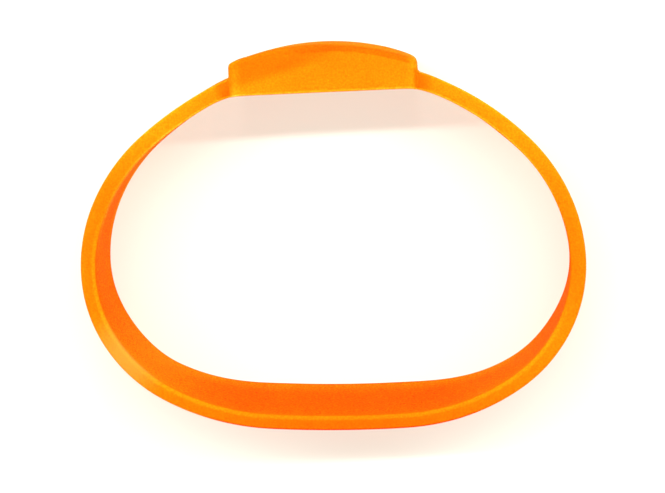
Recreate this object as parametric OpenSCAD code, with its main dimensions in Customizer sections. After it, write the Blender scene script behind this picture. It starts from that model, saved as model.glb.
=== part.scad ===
// A silicone wristband moulded in one piece, lying on its side: a closed strap
// with a thick domed head. The wrist goes through along Z, the head faces -Y,
// and the lower side of the head and the strap opposite it rest on Z = 0.

/* [Strap] */
// Width of the strap, measured along the wrist
strap_w = 16; // [12:0.5:18]
// Thickness of the strap
strap_t = 2.45; // [1.8:0.05:3]
// Radius of the strap's long edges
strap_edge = 0.45; // [0.2:0.05:0.8]
// How much thicker the strap is where it runs into the head
root_extra = 0.3; // [0:0.1:1]

/* [Head] */
// Length of the head, measured round the wrist
head_l = 29; // [26:0.2:30]
// Width of the head, measured along the wrist
head_w = 18.4; // [18.2:0.1:20]
// Thickness of the head at its two ends
head_end_t = 4.9; // [4.6:0.1:6.5]
// Rise of the dome from the ends to the middle
head_rise = 2.8; // [1.5:0.1:3]
// How far to the right of the head's middle the dome is highest
head_crest = 0.4; // [0:0.1:1]
// Drop of the dome from its middle line to its long sides
head_crown = 0.4; // [0.1:0.1:0.8]
// Radius of the dome's two long edges
head_edge = 0.9; // [0.4:0.1:1.2]
// Radius of the dome's two end edges
head_end_edge = 0.6; // [0.3:0.1:0.8]
// Radius of the head's four corners, seen from outside
head_corner = 2; // [1.5:0.1:3]

/* [Lie of the soft loop] */
// How far the strap's lower edge leans out at the two sides, and in at the head and opposite it
lean_out = 0.84; // [0:0.02:1.5]

/* [Hidden] */

// Waves of the lean round the loop, which stretch neither edge
WAVES = 0;
SHARE = 1;
CREST = 2;
LEANS = [
    // waves, share of the lean, direction of a crest from +X
    [2, 1, -15],
    [3, 0.54, 40],
    [4, 0.14, 35],
    [5, 0.22, -16],
    [6, 0.11, -3],
    [7, 0.13, 14],
];

// Flat inner face behind the head, from the head's middle to the right and to the left
flat_right = 12.3;
flat_left = 12.1;

// Length of strap over which it thickens towards the head
root_run = 4;

// Bends of the inner face at its upper edge, counterclockwise from the head.
// The turns add up to one full turn.
TURN = 0;
RADIUS = 1;
BENDS = [
    // turn in degrees, radius
    [26.6, 11.4],  // shoulder on the right of the head
    [11.9, 55.9],  // nearly straight run out of the shoulder
    [24.7, 28.2],
    [26.9, 23.5],  // right side
    [33.1, 20.8],
    [26.8, 22.2],
    [25.4, 37.1],
    [6.5, 190],    // flattened stretch opposite the head
    [32.4, 31.9],
    [60.6, 21.4],  // left side
    [37.8, 26.5],
    [22.6, 40.9],  // nearly straight run into the shoulder
    [24.7, 11.6],  // shoulder on the left of the head
];

// Steps of the mesh along the strap, along the dome and round each edge
strap_step = 2;
dome_steps = 12;
edge_steps = 4;
crown_steps = 6;

// Distances from the head's end at which its rounded end is cut
END_CUTS = [0.02, 0.08, 0.2, 0.4, 0.6, 1, 1.5, 2];

// Degrees in one radian
radian = 180 / PI;

// Segments of the inner outline as [length, curvature]
LENGTH = 0;
CURVATURE = 1;
SEGMENTS = concat(
    [[flat_right, 0]],
    [for (bend = BENDS) [bend[TURN] / radian * bend[RADIUS], 1 / bend[RADIUS]]],
    [[flat_left, 0]]
);

// Point reached by walking a distance along a segment that starts at a point and heading
function walk(point, heading, distance, curvature) =
    curvature == 0
    ? point + distance * [cos(heading), sin(heading)]
    : let (turned = heading + distance * curvature * radian)
      point + [sin(turned) - sin(heading), cos(heading) - cos(turned)] / curvature;

// Starts of all segments as [distance from the head's middle, heading, point]
AT = 0;
HEADING = 1;
POINT = 2;
STARTS = [
    for (
        i = 0, at = 0, heading = 0, point = [0, 0];
        i <= len(SEGMENTS);
        point = i < len(SEGMENTS)
            ? walk(point, heading, SEGMENTS[i][LENGTH], SEGMENTS[i][CURVATURE])
            : point,
        heading = i < len(SEGMENTS)
            ? heading + SEGMENTS[i][LENGTH] * SEGMENTS[i][CURVATURE] * radian
            : heading,
        at = i < len(SEGMENTS) ? at + SEGMENTS[i][LENGTH] : at,
        i = i + 1
    )
    [at, heading, point]
];
loop_length = STARTS[len(SEGMENTS)][AT];
loop_gap = STARTS[len(SEGMENTS)][POINT];

// Number of the segment that holds a distance along the loop
function segment_at(distance, i = 0) =
    i == len(SEGMENTS) - 1 || distance < STARTS[i + 1][AT]
    ? i
    : segment_at(distance, i + 1);

// Point of the inner outline at a distance, with the small closing gap spread evenly
function inner_point(distance) =
    let (
        i = segment_at(distance),
        start = STARTS[i],
        raw = walk(start[POINT], start[HEADING], distance - start[AT], SEGMENTS[i][CURVATURE])
    )
    raw - loop_gap * distance / loop_length;

// Heading of the inner outline at a distance, in degrees
function inner_heading(distance) =
    let (i = segment_at(distance))
    STARTS[i][HEADING] + (distance - STARTS[i][AT]) * SEGMENTS[i][CURVATURE] * radian;

// How far a quarter round of a given radius falls back at a distance from its edge
function round_off(radius, distance) =
    distance >= radius ? 0 : radius - sqrt(radius * radius - pow(radius - distance, 2));

// Reach of the inner face from the flat behind the head: at the head's ends, and opposite it
root_y = max(inner_point(head_l / 2).y, inner_point(loop_length - head_l / 2).y);
far_y = max([for (d = [0:strap_step:loop_length]) inner_point(d).y]);

// Height of the middle line: level along the head, then down to the strap's own edge opposite
function mid_height(y) =
    head_w / 2 - (head_w - strap_w) / 2 * max(0, y - root_y) / (far_y - root_y);

// How far the lower edge stands out from the upper one where the wall faces a direction
function lean(facing, i = 0) =
    i == len(LEANS)
    ? 0
    : lean_out * LEANS[i][SHARE] * cos(LEANS[i][WAVES] * (facing - LEANS[i][CREST]))
      + lean(facing, i + 1);

// Rounded corner of a section as [across, out] points, from one side direction to the next
function corner(middle, radius, from) = [
    for (i = [0:edge_steps])
    let (a = from + 90 * i / edge_steps)
    middle + radius * [cos(a), sin(a)]
];

// Outline of a section as [across, out] points, counterclockwise from the lower inner edge
function section(half, thickness, edge, crown) =
    let (
        inner = strap_edge,
        side_t = thickness - crown
    )
    concat(
        corner([-half + inner, inner], inner, 180),
        corner([half - inner, inner], inner, 270),
        corner([half - edge, side_t - edge], edge, 0),
        [
            for (i = [1:crown_steps - 1])
            let (part = 1 - 2 * i / crown_steps)
            [part * (half - edge), side_t + crown * (1 - part * part)]
        ],
        corner([-half + edge, side_t - edge], edge, 90)
    );

// Unit vector in a direction
function toward(facing) = [cos(facing), sin(facing)];

// Ring of points for a section on the inner outline, built out in a direction
function ring(distance, out_facing, outline) =
    let (
        p = inner_point(distance),
        facing = inner_heading(distance) - 90,
        lower_offset = lean(facing) * toward(facing)
    )
    [
        for (q = outline)
        let (
            down = 0.5 - q.x / strap_w,
            flat = p + down * lower_offset + q.y * toward(out_facing)
        )
        [flat.x, flat.y, mid_height(p.y) + q.x]
    ];

// Direction in which the head faces
HEAD_FACING = -90;

// Thickness of the head at a distance from its middle, with its rounded ends
function head_t(x) =
    head_end_t
    + head_rise * (1 - pow(2 * (x - head_crest) / head_l, 2))
    - round_off(head_end_edge, head_l / 2 - abs(x));

// Half the width of the head at a distance from its middle, with its rounded corners
function head_half(x) =
    max(strap_w / 2, head_w / 2 - round_off(head_corner, head_l / 2 - abs(x)));

// Ring of the head at a distance from its middle, negative on the left
function head_ring(x) =
    let (
        distance = x < 0 ? loop_length + x : x,
        thickness = head_t(x) + inner_point(distance).y
    )
    ring(distance, HEAD_FACING, section(head_half(x), thickness, head_edge, head_crown));

// Thickness of the strap, which grows over a short run into the head
function strap_t_at(distance) =
    let (
        from_head = min(distance, loop_length - distance) - head_l / 2,
        near = max(0, 1 - from_head / root_run)
    )
    strap_t + root_extra * near * near;

// Ring of the strap where it meets the foot of the head's end wall
function foot_ring(distance) =
    let (thickness = strap_t_at(distance) / cos(inner_heading(distance)))
    ring(distance, HEAD_FACING, section(strap_w / 2, thickness, strap_edge, 0));

// Ring of the plain strap
function strap_ring(distance) =
    let (facing = inner_heading(distance) - 90)
    ring(distance, facing, section(strap_w / 2, strap_t_at(distance), strap_edge, 0));

// All rings, counterclockwise from the middle of the head
dome_end = head_l / 2 - END_CUTS[len(END_CUTS) - 1];
strap_from = head_l / 2 + strap_step / 2;
strap_run = loop_length - 2 * strap_from;
strap_steps = round(strap_run / strap_step);
end_count = len(END_CUTS);
RINGS = concat(
    [for (i = [0:dome_steps / 2 - 1]) head_ring(2 * dome_end * i / dome_steps)],
    [for (i = [end_count - 1:-1:0]) head_ring(head_l / 2 - END_CUTS[i])],
    [foot_ring(head_l / 2)],
    [for (i = [0:strap_steps]) strap_ring(strap_from + strap_run * i / strap_steps)],
    [foot_ring(loop_length - head_l / 2)],
    [for (i = [0:end_count - 1]) head_ring(END_CUTS[i] - head_l / 2)],
    [for (i = [dome_steps / 2 - 1:-1:1]) head_ring(-2 * dome_end * i / dome_steps)]
);

// The solid's corners, moved so that the middle of its footprint is at the origin
RAW = [for (r = RINGS, p = r) p];
low = [for (k = [0:2]) min([for (p = RAW) p[k]])];
high = [for (k = [0:2]) max([for (p = RAW) p[k]])];
POINTS = [for (p = RAW) p - [(low.x + high.x) / 2, (low.y + high.y) / 2, low.z]];

// Triangles between neighbouring rings
ring_size = len(RINGS[0]);
FACES = [
    for (i = [0:len(RINGS) - 1], j = [0:ring_size - 1])
    let (
        a = i * ring_size + j,
        b = i * ring_size + (j + 1) % ring_size,
        next = ((i + 1) % len(RINGS)) * ring_size,
        c = next + (j + 1) % ring_size,
        d = next + j
    )
    each [[a, c, b], [a, d, c]]
];

module band() {
    color("darkorange")
    polyhedron(points = POINTS, faces = FACES, convexity = 6);
}

band();
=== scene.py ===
"""Looks of the silicone wristband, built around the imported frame, with its camera, light and floor."""

import math

import bpy
from mathutils import Matrix, Vector


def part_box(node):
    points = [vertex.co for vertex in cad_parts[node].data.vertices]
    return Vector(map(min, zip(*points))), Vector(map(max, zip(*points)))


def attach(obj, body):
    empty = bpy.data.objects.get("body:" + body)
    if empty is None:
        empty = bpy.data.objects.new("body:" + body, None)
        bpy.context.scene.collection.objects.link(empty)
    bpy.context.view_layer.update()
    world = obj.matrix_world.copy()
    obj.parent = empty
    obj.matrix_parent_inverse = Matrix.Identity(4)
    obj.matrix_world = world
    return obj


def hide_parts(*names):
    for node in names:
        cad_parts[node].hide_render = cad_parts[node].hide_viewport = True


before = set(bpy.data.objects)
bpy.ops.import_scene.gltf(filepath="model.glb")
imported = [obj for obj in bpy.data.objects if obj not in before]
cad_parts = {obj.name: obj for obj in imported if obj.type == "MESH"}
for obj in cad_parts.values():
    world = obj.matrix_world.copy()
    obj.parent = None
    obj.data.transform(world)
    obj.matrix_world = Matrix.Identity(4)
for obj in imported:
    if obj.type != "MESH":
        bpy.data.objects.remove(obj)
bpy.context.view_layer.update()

# Millimetres in the tables below, metres in Blender
MM = 0.001

# Strap and head, in millimetres. The head's end edges are given at its end towards -X, then towards +X.
STRAP_WIDTH = 16
STRAP_THICKNESS = 2.45
STRAP_EDGE = 0.45
ROOT_EXTRA = 0.3
ROOT_RUN = 4
HEAD_LENGTH = 29
HEAD_WIDTH = 18.4
HEAD_END_THICKNESS = 4.9
HEAD_RISE = 2.8
HEAD_CREST = 0.4
HEAD_CROWN = 0.4
HEAD_EDGE = 1.5
HEAD_END_EDGES = (0.7, 0.35)
HEAD_CORNER = 1.5

# Share of the dome's crown and edge radius that is left where it ends towards +X
SHARP_END_ROUNDNESS = 0.25

# Lean of the wall: how far the lower edge stands out, as waves round the loop
LEAN_OUT = 0.84
LEANS = [
    # waves, share of the lean, direction of a crest from +X in degrees
    (2, 1, -15),
    (3, 0.54, 40),
    (4, 0.14, 35),
    (5, 0.22, -16),
    (6, 0.11, -3),
    (7, 0.13, 14),
]

# The furthest that the lower edge leans in on the head's side
HEAD_SIDE_LEAN = 0.84

# Flat inner face behind the head, from the head's middle to the right and to the left
FLAT_RIGHT = 12.3
FLAT_LEFT = 12.1

# Bends of the inner face at its upper edge, counterclockwise from the head
BENDS = [
    # turn in degrees, radius
    (26.6, 11.4),
    (11.9, 55.9),
    (24.7, 28.2),
    (26.9, 23.5),
    (33.1, 20.8),
    (26.8, 22.2),
    (25.4, 37.1),
    (6.5, 190),
    (32.4, 31.9),
    (60.6, 21.4),
    (37.8, 26.5),
    (22.6, 40.9),
    (24.7, 11.6),
]

# Spacing of the sweep's sections along the strap and along the head
STRAP_STEP = 1.7
HEAD_STEP = 2.4

# Distances from the head's end at which its rounding is cut
END_CUTS = (0, 0.15, 0.45, 0.9, 1.6)

# Share of the head's section left at each step down its end wall, and the wall's draft
WALL_SHARES = (0.9, 0.5, 0)
WALL_DRAFT = 0.04

# Length of strap beside the head that rounds the foot of its end wall
FOOT = 0.45

# A support edge this many radii from a corner rounds it by that radius once the cage is smoothed
SUPPORT = 1.75

# Levels of smoothing of the cage
SMOOTHING = 2

# What the sweep takes as named inputs
SWEEP_SIZES = {
    "Strap width": STRAP_WIDTH,
    "Strap thickness": STRAP_THICKNESS,
    "Strap edge": STRAP_EDGE,
    "Root extra": ROOT_EXTRA,
    "Root run": ROOT_RUN,
    "Head length": HEAD_LENGTH,
    "Head width": HEAD_WIDTH,
    "Head end thickness": HEAD_END_THICKNESS,
    "Head rise": HEAD_RISE,
    "Head crown": HEAD_CROWN,
    "Head edge": HEAD_EDGE,
    "Head corner": HEAD_CORNER,
    "Support": SUPPORT,
    "Scale": MM,
}


def walk(point, heading, distance, curvature):
    """Point reached along a segment that starts at a point and heading."""
    if curvature == 0:
        return point + distance * Vector((math.cos(heading), math.sin(heading)))
    turned = heading + distance * curvature
    chord = Vector((math.sin(turned) - math.sin(heading), math.cos(heading) - math.cos(turned)))
    return point + chord / curvature


class Outline:
    """The inner face seen along the wrist, as straights and arcs from the head's middle."""

    def __init__(self):
        arcs = [(math.radians(turn) * radius, 1 / radius) for turn, radius in BENDS]
        self.segments = [(FLAT_RIGHT, 0)] + arcs + [(FLAT_LEFT, 0)]
        self.starts = []
        at, heading, point = 0, 0, Vector((0, 0))
        for length, curvature in self.segments:
            self.starts.append((at, heading, point))
            point = walk(point, heading, length, curvature)
            heading += length * curvature
            at += length
        self.length = at
        self.gap = point

    def segment(self, distance):
        """Number of the segment that holds a distance."""
        for i in reversed(range(len(self.segments))):
            if distance >= self.starts[i][0]:
                return i
        return 0

    def heading(self, distance):
        i = self.segment(distance)
        at, heading, _ = self.starts[i]
        return heading + (distance - at) * self.segments[i][1]

    def point(self, distance):
        """Point at a distance, with the small closing gap spread evenly."""
        i = self.segment(distance)
        at, heading, point = self.starts[i]
        raw = walk(point, heading, distance - at, self.segments[i][1])
        return raw - self.gap * distance / self.length


def lean(facing):
    """How far the lower edge stands out from the upper one where the wall faces a direction."""
    out = LEAN_OUT * sum(
        share * math.cos(waves * (facing - math.radians(crest))) for waves, share, crest in LEANS
    )
    on_head_side = math.sin(facing) < 0
    return max(out, -HEAD_SIDE_LEAN) if on_head_side else out


def stations(outline):
    """Sections of the sweep as (distance from the head's middle, share of the head's section)."""
    half = HEAD_LENGTH / 2
    inside = half - END_CUTS[-1]
    steps = round(inside / HEAD_STEP)
    side = [(inside * i / steps, 1) for i in range(steps)]
    side += [(half - cut, 1) for cut in reversed(END_CUTS)]
    side += [(half + WALL_DRAFT * (1 - share), share) for share in WALL_SHARES]
    first = half + WALL_DRAFT + FOOT
    run = outline.length - 2 * first
    steps = round(run / STRAP_STEP)
    strap = [(first + run * i / steps, 0) for i in range(steps + 1)]
    back = [(outline.length - distance, share) for distance, share in reversed(side[1:])]
    return side + strap + back


def level_vector(length, direction):
    """Level vector of a length in a direction."""
    return (length * math.cos(direction), length * math.sin(direction), 0)


def path_station(outline, distance, share, root, far):
    """Point of the path at a distance, and what the section there needs to know."""
    half = HEAD_LENGTH / 2
    point = outline.point(distance)
    middle = min(distance, outline.length - distance)
    on_head = middle <= half + WALL_DRAFT
    wall_facing = outline.heading(distance) - math.pi / 2
    drop = (HEAD_WIDTH - STRAP_WIDTH) / 2 * max(0, point.y - root) / (far - root)
    sharper = min(max(point.x / half, 0), 1)
    known = {
        "facing": level_vector(1, -math.pi / 2 if on_head else wall_facing),
        "lower": level_vector(lean(wall_facing), wall_facing),
        "share": share,
        "middle": middle,
        "crest": (point.x - HEAD_CREST) / half,
        "bend": point.y if on_head else 0,
        "end": HEAD_END_EDGES[point.x > 0],
        "soft": 1 - (1 - SHARP_END_ROUNDNESS) * sharper,
    }
    return (point.x, point.y, HEAD_WIDTH / 2 - drop), known


def path_mesh(outline):
    """Closed chain of edges along the inner face, which carries what each section needs to know."""
    half = HEAD_LENGTH / 2
    rows = stations(outline)
    root = max(outline.point(half).y, outline.point(outline.length - half).y)
    far = max(outline.point(distance).y for distance, _ in rows)
    points, known = zip(*(path_station(outline, distance, share, root, far) for distance, share in rows))
    count = len(points)
    mesh = bpy.data.meshes.new("band_path")
    mesh.from_pydata(points, [(i, (i + 1) % count) for i in range(count)], [])
    for name in known[0]:
        values = [row[name] for row in known]
        if isinstance(values[0], tuple):
            attribute = mesh.attributes.new(name, "FLOAT_VECTOR", "POINT")
            attribute.data.foreach_set("vector", [part for value in values for part in value])
        else:
            attribute = mesh.attributes.new(name, "FLOAT", "POINT")
            attribute.data.foreach_set("value", values)
    return mesh


class Wire:
    """An output socket.

    Python's operators on it add Math nodes, or Vector Math nodes where it is a vector.
    """

    def __init__(self, graph, socket):
        self.graph = graph
        self.socket = socket

    def out(self, name):
        """Another output of the same node."""
        return Wire(self.graph, self.socket.node.outputs[name])

    def maths(self, operation, *values):
        return self.graph.maths(operation, *values)

    def __add__(self, other):
        return self.maths("ADD", self, other)

    def __radd__(self, other):
        return self.maths("ADD", other, self)

    def __sub__(self, other):
        return self.maths("SUBTRACT", self, other)

    def __rsub__(self, other):
        return self.maths("SUBTRACT", other, self)

    def __mul__(self, other):
        return self.maths("MULTIPLY", self, other)

    def __rmul__(self, other):
        return self.maths("MULTIPLY", other, self)

    def __truediv__(self, other):
        return self.maths("DIVIDE", self, other)

    def __rtruediv__(self, other):
        return self.maths("DIVIDE", other, self)

    def __abs__(self):
        return self.maths("ABSOLUTE", self)


class Graph:
    """A node tree that is being filled."""

    def __init__(self, tree):
        self.tree = tree

    def node(self, kind, settings=None, inputs=None, output=0):
        """Adds a node: its settings first, then the values or links of its sockets. Returns one output."""
        node = self.tree.nodes.new(kind)
        for name, value in (settings or {}).items():
            if name == "stops":
                self.fill_ramp(node.color_ramp, value)
            else:
                setattr(node, name, value)
        for key, value in (inputs or {}).items():
            if isinstance(value, Wire):
                self.tree.links.new(value.socket, node.inputs[key])
            else:
                node.inputs[key].default_value = value
        return Wire(self, node.outputs[output]) if node.outputs else node

    @staticmethod
    def fill_ramp(ramp, stops):
        while len(ramp.elements) < len(stops):
            ramp.elements.new(1)
        for element, (position, colour) in zip(ramp.elements, stops):
            element.position = position
            element.color = colour

    def maths(self, operation, *values):
        """A Math node, or where a value is a vector a Vector Math node, which scales it by a number."""
        vectors = [v for v in values if isinstance(v, Wire) and v.socket.type == "VECTOR"]
        numbers = [v for v in values if v not in vectors]
        if operation == "MULTIPLY" and len(vectors) == 1:
            inputs = {0: vectors[0], "Scale": numbers[0]}
            return self.node("ShaderNodeVectorMath", {"operation": "SCALE"}, inputs)
        kind = "ShaderNodeVectorMath" if vectors else "ShaderNodeMath"
        return self.node(kind, {"operation": operation}, dict(enumerate(values)))

    def least(self, a, b):
        return self.maths("MINIMUM", a, b)

    def most(self, a, b):
        return self.maths("MAXIMUM", a, b)

    def mix(self, share, a, b):
        """a where the share is 0, b where it is 1."""
        return a + (b - a) * share

    def rise(self, value, start, end):
        """Smooth share: 0 where the value is at its start or before, 1 where it has reached its end."""
        inputs = {"Value": value, "From Min": start, "From Max": end}
        return self.node("ShaderNodeMapRange", {"interpolation_type": "SMOOTHSTEP"}, inputs)


def round_off(graph, radius, distance):
    """How far a quarter round falls back at a distance from its edge."""
    short = graph.most(radius - distance, 0)
    return radius - graph.maths("SQRT", radius * radius - short * short)


def remember_place(graph, curve):
    """A curve that remembers where its points are, and that place."""
    kept = graph.node(
        "GeometryNodeCaptureAttribute", {"domain": "POINT"}, {"Geometry": curve}, "Geometry"
    )
    node = kept.socket.node
    node.capture_items.new("VECTOR", "Place")
    place = graph.node("GeometryNodeInputPosition")
    graph.tree.links.new(place.socket, node.inputs["Place"])
    return kept, kept.out("Place")


def sweep_square(graph, path):
    """Sweeps a square round the path. Returns the mesh, and each point's place on the path and the square.

    Along each side, the points of the square lie at -2, -1, 0, 1 and 2.
    """
    route = graph.node("GeometryNodeMeshToCurve", inputs={"Mesh": path})
    square = graph.node("GeometryNodeCurvePrimitiveQuadrilateral", inputs={"Width": 4.0, "Height": 4.0})
    square = graph.node("GeometryNodeSubdivideCurve", inputs={"Curve": square, "Cuts": 3})
    route, on_path = remember_place(graph, route)
    square, on_square = remember_place(graph, square)
    swept = graph.node("GeometryNodeCurveToMesh", inputs={"Curve": route, "Profile Curve": square})
    return swept, on_path, on_square


def carried(graph, name, kind="FLOAT"):
    """What the path's mesh carries under a name."""
    settings = {"data_type": kind}
    return graph.node("GeometryNodeInputNamedAttribute", settings, {"Name": name}, "Attribute")


def section_size(graph, size):
    """Thickness and half width of the section where it stands."""
    share = carried(graph, "share")
    along = carried(graph, "crest")
    from_end = size["Head length"] / 2 - carried(graph, "middle")
    inside = graph.most(from_end, 0)
    dome = size["Head end thickness"] + size["Head rise"] * (1 - along * along)
    dome = dome - round_off(graph, carried(graph, "end"), inside) + carried(graph, "bend")
    near = graph.most(1 + graph.least(from_end, 0) / size["Root run"], 0)
    strap = size["Strap thickness"] + size["Root extra"] * near * near
    strap_half = size["Strap width"] / 2
    head_half = size["Head width"] / 2 - round_off(graph, size["Head corner"], inside)
    thickness = graph.mix(share, strap, dome)
    half = graph.mix(share, strap_half, graph.most(head_half, strap_half))
    return thickness, half


def section_spot(graph, size, on_path, on_square):
    """Where each point of the swept square belongs, and what the material needs to know there."""
    share = carried(graph, "share")
    soft = carried(graph, "soft")
    facing = carried(graph, "facing", "FLOAT_VECTOR")
    lower = carried(graph, "lower", "FLOAT_VECTOR")
    thickness, half = section_size(graph, size)

    # The section is a core that stretches and a rim that keeps its width
    parts = graph.node("ShaderNodeSeparateXYZ", inputs={"Vector": on_square})
    x, y = parts.out("X"), parts.out("Y")
    core_x = graph.most(graph.least(x, 1), -1)
    core_y = graph.most(graph.least(y, 1), -1)
    outer = y / 4 + 0.5
    edge = graph.mix(share * outer, size["Strap edge"], size["Head edge"] * soft)
    rim = edge * size["Support"]
    across = core_x * (half - rim) + (x - core_x) * rim
    out = thickness / 2 + core_y * (thickness / 2 - rim) + (y - core_y) * rim
    bulge = share * outer * soft * size["Head crown"] * (across * across) / (half * half)
    down = 0.5 - across / size["Strap width"]
    upright = graph.node("ShaderNodeCombineXYZ", inputs={"Z": across})
    spot = on_path + lower * down + facing * (out - bulge) + upright
    return spot, {"outer": outer, "depth": out, "side": abs(x / 2)}


def sweep_tree():
    """Sweeps the band's section round its path: the strap, and the domed head where the path says so."""
    tree = bpy.data.node_groups.new("band_sweep", "GeometryNodeTree")
    graph = Graph(tree)
    kinds = {"Path": "NodeSocketGeometry"}
    kinds.update({name: "NodeSocketFloat" for name in SWEEP_SIZES})
    kinds.update({"Smoothing": "NodeSocketInt", "Material": "NodeSocketMaterial"})
    for name, kind in kinds.items():
        tree.interface.new_socket(name, in_out="INPUT", socket_type=kind)
    tree.interface.new_socket("Band", in_out="OUTPUT", socket_type="NodeSocketGeometry")
    given = graph.node("NodeGroupInput")
    size = {name: given.out(name) for name in SWEEP_SIZES}

    band, on_path, on_square = sweep_square(graph, given.out("Path"))
    spot, stored = section_spot(graph, size, on_path, on_square)
    for name, value in stored.items():
        band = graph.node(
            "GeometryNodeStoreNamedAttribute",
            {"data_type": "FLOAT", "domain": "POINT"},
            {"Geometry": band, "Name": name, "Value": value},
        )
    placed = {"Geometry": band, "Position": spot * size["Scale"]}
    band = graph.node("GeometryNodeSetPosition", inputs=placed)
    smoothed = {"Mesh": band, "Level": given.out("Smoothing")}
    band = graph.node("GeometryNodeSubdivisionSurface", inputs=smoothed)
    band = graph.node("GeometryNodeSetShadeSmooth", inputs={"Geometry": band})
    band = graph.node("GeometryNodeRealizeInstances", inputs={"Geometry": band})
    finished = {"Geometry": band, "Material": given.out("Material")}
    band = graph.node("GeometryNodeSetMaterial", inputs=finished)
    graph.node("NodeGroupOutput", inputs={"Band": band})
    return tree


def plain_mesh(piece):
    """Turns what a piece's modifiers make into its own mesh."""
    bpy.context.view_layer.update()
    graph = bpy.context.evaluated_depsgraph_get()
    made = bpy.data.meshes.new_from_object(piece.evaluated_get(graph), depsgraph=graph)
    piece.modifiers.clear()
    piece.data = made


def make_band(material):
    """The whole band, swept and smoothed, on the footprint of its CAD node."""
    piece = bpy.data.objects.new("wristband", path_mesh(Outline()))
    bpy.context.scene.collection.objects.link(piece)
    sweep = piece.modifiers.new("sweep", "NODES")
    sweep.node_group = sweep_tree()
    values = {name: float(size) for name, size in SWEEP_SIZES.items()}
    values["Smoothing"] = SMOOTHING
    values["Material"] = material
    for socket in sweep.node_group.interface.items_tree:
        if socket.name in values:
            sweep[socket.identifier] = values[socket.name]
    plain_mesh(piece)

    # What only the sweep needs to know
    for name in ("facing", "lower", "crest", "bend", "end", "soft"):
        piece.data.attributes.remove(piece.data.attributes[name])

    # Middle of the footprint on that of the CAD node, and lowest point on its lowest
    low = Vector(min(v.co[k] for v in piece.data.vertices) for k in range(3))
    high = Vector(max(v.co[k] for v in piece.data.vertices) for k in range(3))
    cad_low, cad_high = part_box("band")
    shift = (cad_low + cad_high - low - high) / 2
    shift.z = cad_low.z - low.z
    piece.data.transform(Matrix.Translation(shift))
    return piece


# How the orange runs from deep to pale: tone, and the colour there
ORANGES = [
    (0.0, (0.85, 0.012, 0.0006, 1)),
    (0.4, (0.90, 0.052, 0.0008, 1)),
    (1.0, (0.92, 0.130, 0.0012, 1)),
    (1.6, (0.94, 0.208, 0.0024, 1)),
    (2.2, (0.96, 0.290, 0.0080, 1)),
    (3.0, (1.00, 0.500, 0.0500, 1)),
]

# Change of tone of each part of the band: painted highlights, painted light and painted shade, and paler
# specks of dust. The head's end towards +X is the sharper one.
TONE = {
    "inner highlight": 0.38,
    "shaded edge painted light": 0.9,
    "outer highlight": 0.4,
    "outer half painted light": 0.12,
    "dome shade stripe": -0.34,
    "risen shade stripe": -0.08,
    "dome outline shade": -0.3,
    "sharp end light": 0.34,
    "round end": 0.18,
    "round wall painted light": 0.6,
    "head face light": 0.12,
    "sharp half light": 0.26,
    "wedge": -0.48,
    "sharp nook shade": -0.42,
    "round nook shade": -0.46,
    "head foot shade": -0.55,
    "far edge": -0.8,
    "far foot": 0.5,
    "dust": 0.5,
}

# Painted highlight along the inner edge: how far towards -X and +X its start shifts, where it starts along
# Y at these two
# # ends, and the run over which it comes up
INNER_HIGHLIGHT_REACH = 20
INNER_HIGHLIGHT_STARTS = (10, -8)
INNER_HIGHLIGHT_RUN = 9

# Painted shade in a stripe along the dome's edge: how far outwards the surface faces where it starts,
# before it rises and
# # after, and the change over which it comes up
DOME_SHADE_STARTS = (0.04, 0.18)
DOME_SHADE_RUN = 0.16

# Painted shade in a wedge on the head's face: its slope, and where it starts and is whole along Y at X = 0
WEDGE_SLOPE = 0.29
WEDGE_START = -27.3
WEDGE_WHOLE = -29.3

# Wide soft patches of painted light and shade on the band's faces and on its walls
FACE_PAINTED_LIGHT_AND_SHADE = [
    # x, y, radius in millimetres, change of tone
    (-28, -17, 22, 0.40),
    (-20, -22, 10, 0.12),
    (25, -19, 17, 0.48),
    (0, 31, 34, -0.28),
    (33, 17, 12, 0.46),
    (-34, 18, 11, 0.22),
    (-10, -24, 7, 0.10),
    (4.2, -25.2, 5.5, -0.18),
    (-1, -26.8, 4, -0.10),
    (-3.8, -25, 4.5, 0.10),
]
WALL_PAINTED_LIGHT_AND_SHADE = [
    (0, 31, 34, -0.28),
    (37, 0, 20, 0.22),
    (28, -12, 12, 0.40),
    (31, 19, 13, 0.46),
    (17, 28, 9, -0.10),
    (-16, 28, 9, -0.12),
    (-34, 12, 14, -0.10),
]

# Moulding grain, mottling and dust: cells to the metre
GRAIN_SCALE = 3200.0
MOTTLE_SCALE = 160.0
DUST_SCALE = 1250.0

# Edge of a speck of dust, in cells from its middle, and the random values of the cells that have one
SPECK_EDGE = (0.14, 0.08)
SPECK_CELLS = (0.86, 0.9)

# How much the grain changes the tone of the walls and of the faces, and the mottling that of both
WALL_GRAIN = 2.2
FACE_GRAIN = 0.9
MOTTLING = 0.2

# A faint painted sheen, a pale highlight on one side: its middle, its reach and the reach of its full
# share, in millimetres
SHEEN_AT = (33, 17)
SHEEN_REACH = 8
SHEEN_CORE = 1
SHEEN_SHARE = 0.6
SHEEN_HIGHLIGHT_ORANGE = (0.96, 0.23, 0.034, 1)

# Finish of the surface, with lengths in metres
ROUGHNESS = 0.6
SPECULAR = 0.002
BUMP_STRENGTH = 0.2
BUMP_HEIGHT = 0.00004
TRANSLUCENCE = 0.3
TRANSLUCENT_DEPTH = 0.001
TRANSLUCENT_COLOURS = (1, 0.3, 0.1)


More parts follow.
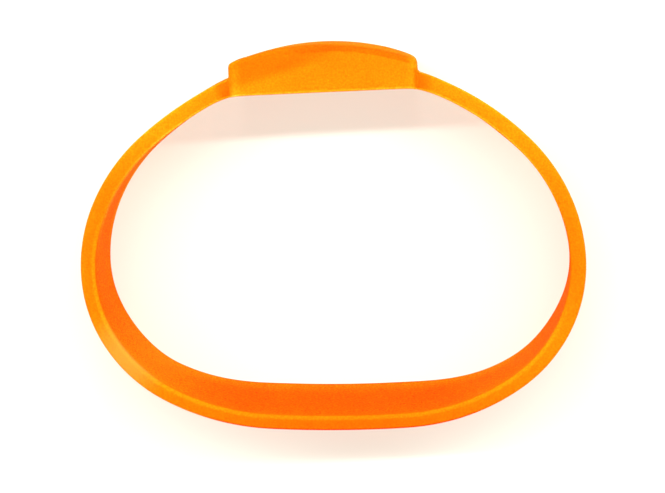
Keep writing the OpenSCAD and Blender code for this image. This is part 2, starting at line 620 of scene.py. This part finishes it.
class Skin:
    """Where a spot of the silicone lies and which way it faces, as outputs in its material's tree."""

    def __init__(self, graph):
        self.graph = graph
        self.spot = graph.node("ShaderNodeTexCoord", output="Object")
        facing = graph.node("ShaderNodeSeparateXYZ", inputs={"Vector": self.spot.out("Normal")})
        self.facing_x = facing.out("X")
        self.outwards = 0 - facing.out("Y")
        self.upright = abs(facing.out("Z"))

        # Place in millimetres
        place = graph.node("ShaderNodeSeparateXYZ", inputs={"Vector": self.spot * (1 / MM)})
        self.x, self.y, self.z = place.out("X"), place.out("Y"), place.out("Z")
        self.level = graph.node("ShaderNodeCombineXYZ", inputs={"X": self.x, "Y": self.y})

        # What the sweep and its path stored
        self.head = self.own("share")
        self.middle = self.own("middle")
        self.outer = self.own("outer")
        self.depth = self.own("depth")
        self.side = self.own("side")

        # Upper and lower face with their rounded edges, the flat of them, and the dome's part of them
        self.rounded = graph.rise(self.side, 0.6, 0.8)
        self.flat = graph.rise(self.upright, 0.3, 0.7)
        self.on_dome = self.head * graph.rise(self.outer, 0.6, 0.9)

        # Low on the head's end walls, near the strap
        self.at_foot = graph.rise(self.y, -27, -25.6)

    def own(self, name):
        settings = {"attribute_type": "GEOMETRY", "attribute_name": name}
        return self.graph.node("ShaderNodeAttribute", settings, output="Fac")

    def near(self, x, y, reach, core=0):
        """Share that is 1 up to a core round a place, seen from above, and 0 past its reach."""
        away = self.graph.node(
            "ShaderNodeVectorMath", {"operation": "DISTANCE"}, {0: self.level, 1: (x, y, 0)}, "Value"
        )
        return self.graph.rise(away, reach, core)


# In the parts of the tone below, places and depths are in millimetres, and facings and sides are shares


def edge_painted_light(skin):
    """Painted highlights along the inner and outer long edges, painted light on the inner edge that faces
    away from the key lamp, and paler painted light on the outer part of the strap's face on the head's
    side.
    """
    rise = skin.graph.rise
    start = skin.graph.mix(rise(skin.x, -INNER_HIGHLIGHT_REACH, INNER_HIGHLIGHT_REACH), *INNER_HIGHLIGHT_STARTS)
    lined = rise(skin.y, start, start + INNER_HIGHLIGHT_RUN)
    inner_highlight = skin.rounded * rise(skin.depth, 0.9, 0.5) * rise(skin.upright, 0.25, 0.65) * lined
    shaded_edge_light = rise(skin.outwards, -0.1, -0.5) * rise(skin.side, 0.3, 0.5) * rise(skin.outer, 0.5, 0.3)
    outer_highlight = skin.rounded * rise(skin.outer, 0.7, 0.9) * rise(skin.upright, 1, 0.6) * (1 - skin.on_dome)
    outer_half_light = skin.rounded * rise(skin.depth, 0.9, 2) * rise(skin.y, 14, 3) * (1 - skin.head)
    inner = inner_highlight * TONE["inner highlight"] + shaded_edge_light * TONE["shaded edge painted light"]
    return inner + outer_highlight * TONE["outer highlight"] + outer_half_light * TONE["outer half painted light"]


def dome_painted_shade(skin):
    """Painted shade: a deep stripe along the dome's edge, which rises towards -X, and a deep outline
    towards +X.
    """
    rise = skin.graph.rise
    risen = rise(skin.x, 2, -3)
    start = skin.graph.mix(risen, *DOME_SHADE_STARTS)
    stripe = rise(skin.outwards, start, start + DOME_SHADE_RUN) * rise(skin.outwards, 1, 0.88)
    depth = rise(skin.x, 10, -2) * TONE["dome shade stripe"] + risen * TONE["risen shade stripe"]
    outline = rise(skin.outwards, 0.85, 1) * rise(skin.x, -3, 4)
    return skin.on_dome * skin.rounded * (stripe * depth + outline * TONE["dome outline shade"])


def head_painted_light_and_shade(skin):
    """Painted light on the head's ends, on its end wall towards -X and on its face, paler in the sharper
    half, with painted shade in a wedge towards the dome in that half.
    """
    rise = skin.graph.rise
    half = HEAD_LENGTH / 2
    sharp_end_light = rise(skin.x, half - 2.4, half - 0.8)
    round_end_light = rise(skin.x, 1.9 - half, 1.2 - half)
    ends = skin.rounded * (sharp_end_light * TONE["sharp end light"] + round_end_light * TONE["round end"])
    round_wall_light = rise(skin.facing_x, -0.2, -0.7) * (1 - skin.at_foot)
    sharp_half = rise(skin.x, -6, 4)
    wedge = sharp_half * rise(skin.y - skin.x * WEDGE_SLOPE, WEDGE_START, WEDGE_WHOLE)
    face = skin.flat * (TONE["head face light"] + sharp_half * TONE["sharp half light"] + wedge * TONE["wedge"])
    return skin.head * (ends + round_wall_light * TONE["round wall painted light"] + face)


def nook_painted_shade(skin):
    """Painted shade in the nooks beside the head, and at the foot of its rounder end."""
    rise = skin.graph.rise
    half = HEAD_LENGTH / 2
    round_side = rise(skin.x, 1, -1)
    sharp_nook_shade = rise(skin.middle, half + 2.1, half + 0.7) * (1 - round_side)
    round_nook_shade = rise(skin.middle, half + 2.5, half - 0.3) * round_side
    nooks = (1 - skin.head) * (sharp_nook_shade * TONE["sharp nook shade"] + round_nook_shade * TONE["round nook shade"])
    head_foot_shade = skin.head * skin.at_foot * rise(skin.middle, half - 0.9, half) * round_side
    return skin.flat * (nooks + head_foot_shade * TONE["head foot shade"])


def far_tone(skin):
    """Opposite the head: the outer edge lies in its own shade, and the wall's foot is lit from below."""
    rise = skin.graph.rise
    edge = rise(skin.side, 0.45, 0.85) * rise(skin.outer, 0.86, 1) * rise(skin.y, 26, 29.6)
    foot = (1 - skin.rounded) * rise(skin.z, 6, 0.2) * rise(skin.outwards, 0.5, 1)
    return edge * TONE["far edge"] + foot * TONE["far foot"]


def cloud_painted_light_and_shade(skin):
    """Painted light and shade in wide soft patches, on the faces and on the walls."""
    return sum(
        share * skin.near(x, y, radius) * change
        for share, clouds in ((skin.rounded, FACE_PAINTED_LIGHT_AND_SHADE), (1 - skin.rounded, WALL_PAINTED_LIGHT_AND_SHADE))
        for x, y, radius, change in clouds
    )


def silicone():
    """Orange silicone rubber: soft, matte and slightly translucent, with painted highlights along its edges
    and painted light and shade over it.
    """
    material = bpy.data.materials.new("orange_silicone")
    material.use_nodes = True
    material.node_tree.nodes.clear()
    graph = Graph(material.node_tree)
    skin = Skin(graph)
    # The tone carries painted highlights, painted light and painted shade, besides the grain, mottling and
    # dust below
    tones = (edge_painted_light, dome_painted_shade, head_painted_light_and_shade, nook_painted_shade, far_tone, cloud_painted_light_and_shade)
    tone = 1 + sum(part(skin) for part in tones)

    # Moulding grain and faint mottling
    grain = graph.node(
        "ShaderNodeTexNoise", None, {"Vector": skin.spot, "Scale": GRAIN_SCALE, "Detail": 2.0}
    )
    mottle = graph.node(
        "ShaderNodeTexNoise", None, {"Vector": skin.spot, "Scale": MOTTLE_SCALE, "Detail": 3.0}
    )
    grainy = graph.mix(skin.rounded, WALL_GRAIN, FACE_GRAIN)
    tone = tone * (1 + (grain - 0.5) * grainy + (mottle - 0.5) * MOTTLING)

    # Specks of dust in the few cells whose random colour is high in red
    cells = {"Vector": skin.spot, "Scale": DUST_SCALE}
    from_speck = graph.node("ShaderNodeTexVoronoi", None, cells, "Distance")
    chosen = graph.node("ShaderNodeSeparateXYZ", inputs={"Vector": from_speck.out("Color")})
    speck = graph.rise(from_speck, *SPECK_EDGE) * graph.rise(chosen, *SPECK_CELLS)
    tone = tone + speck * TONE["dust"]

    palest = ORANGES[-1][0]
    stops = [(at / palest, orange) for at, orange in ORANGES]
    colour = graph.node("ShaderNodeValToRGB", {"stops": stops}, {"Fac": tone / palest}, "Color")
    # Painted sheen: a pale highlight mixed into the colour on one side
    painted_sheen = skin.rounded * skin.near(*SHEEN_AT, SHEEN_REACH, SHEEN_CORE) * SHEEN_SHARE
    colour = graph.node(
        "ShaderNodeMix", {"data_type": "RGBA"}, {"Factor": painted_sheen, 6: colour, 7: SHEEN_HIGHLIGHT_ORANGE}, 2
    )
    bump = graph.node(
        "ShaderNodeBump", inputs={"Strength": BUMP_STRENGTH, "Distance": BUMP_HEIGHT, "Height": grain}
    )
    shader = graph.node(
        "ShaderNodeBsdfPrincipled",
        {"subsurface_method": "RANDOM_WALK"},
        {
            "Base Color": colour,
            "Roughness": ROUGHNESS + (mottle - 0.5) * MOTTLING,
            "Specular IOR Level": SPECULAR,
            "Subsurface Weight": TRANSLUCENCE,
            "Subsurface Radius": TRANSLUCENT_COLOURS,
            "Subsurface Scale": TRANSLUCENT_DEPTH,
            "Normal": bump,
        },
    )
    graph.node("ShaderNodeOutputMaterial", inputs={"Surface": shader})
    return material


# The photograph's camera: where it stands, where it looks, how it is rolled, and its lens
CAMERA_AT = Vector((-0.01773, -0.03997, 0.2839))
CAMERA_AIM = Vector((-0.00021, 0.00082, 0.0172))
CAMERA_ROLL = math.radians(-2.75)
CAMERA_LENS = 94.3
SENSOR = 36


def make_camera():
    data = bpy.data.cameras.new("camera")
    data.lens = CAMERA_LENS
    data.sensor_width = SENSOR
    camera = bpy.data.objects.new("camera", data)
    bpy.context.scene.collection.objects.link(camera)
    back = (CAMERA_AT - CAMERA_AIM).normalized()
    up = Vector((0, -1, 0))
    right = up.cross(back).normalized()
    up = back.cross(right)
    turn = Matrix((right, up, back)).transposed() @ Matrix.Rotation(CAMERA_ROLL, 3, "Z")
    camera.matrix_world = Matrix.Translation(CAMERA_AT) @ turn.to_4x4()
    bpy.context.scene.camera = camera


def soft_light(name, place, aim, sides, power, shadow=True, slant=0, colour=(1, 1, 1)):
    """Soft light with two sides, turned to its aim and by a slant in degrees. The camera doesn't see it."""
    data = bpy.data.lights.new(name, "AREA")
    data.shape = "RECTANGLE"
    data.size, data.size_y = sides
    data.energy = power
    data.color = colour
    data.use_shadow = shadow
    lamp = bpy.data.objects.new(name, data)
    lamp.visible_camera = False
    bpy.context.scene.collection.objects.link(lamp)
    back = (Vector(place) - Vector(aim)).normalized()
    turn = back.to_track_quat("Z", "Y").to_matrix() @ Matrix.Rotation(math.radians(slant), 3, "Z")
    lamp.matrix_world = Matrix.Translation(place) @ turn.to_4x4()


# Light from all round, a little green against the orange's glow on the floor
SKY_COLOUR = (0.8, 0.92, 0.78, 1)
SKY_STRENGTH = 0.5


def make_light():
    world = bpy.data.worlds.new("studio")
    world.use_nodes = True
    sky = world.node_tree.nodes["Background"]
    sky.inputs["Color"].default_value = SKY_COLOUR
    sky.inputs["Strength"].default_value = SKY_STRENGTH
    bpy.context.scene.world = world
    soft_light("overhead", place=(0, -0.02, 0.6), aim=(0, 0, 0), sides=(0.3, 0.3), power=3.2, shadow=False)

    # A long thin lamp throws the strip of shadow behind the head
    soft_light(
        "key", place=(0, -0.168, 0.347), aim=(0, -0.022, 0.018), sides=(1, 0.02), power=2.3, slant=1.7
    )

    # A warm one tints that strip, and a low one lights the head's outer face
    warm = (1, 0.35, 0.4)
    soft_light("glow", place=(0, 0.5, 0.06), aim=(0, 0.03, 0), sides=(0.2, 0.1), power=1.2, colour=warm)
    soft_light("edge", place=(0, -0.6, 0.05), aim=(0, 0, 0.01), sides=(0.1, 0.1), power=2)


FLOOR_COLOUR = (0.62, 0.64, 0.58, 1)
FLOOR_REACH = 4


def make_floor():
    material = bpy.data.materials.new("pale_floor")
    material.use_nodes = True
    material.node_tree.nodes.clear()
    graph = Graph(material.node_tree)
    shader = graph.node("ShaderNodeBsdfDiffuse", inputs={"Color": FLOOR_COLOUR})
    graph.node("ShaderNodeOutputMaterial", inputs={"Surface": shader})
    mesh = bpy.data.meshes.new("floor")
    signs = ((-1, -1), (1, -1), (1, 1), (-1, 1))
    corners = [(x * FLOOR_REACH, y * FLOOR_REACH, 0) for x, y in signs]
    mesh.from_pydata(corners, [], [(0, 1, 2, 3)])
    mesh.materials.append(material)
    floor = bpy.data.objects.new("floor", mesh)
    bpy.context.scene.collection.objects.link(floor)


bpy.context.scene.view_settings.view_transform = "Standard"
make_camera()
make_light()
make_floor()
wristband = make_band(silicone())
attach(wristband, "root")
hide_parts("band")
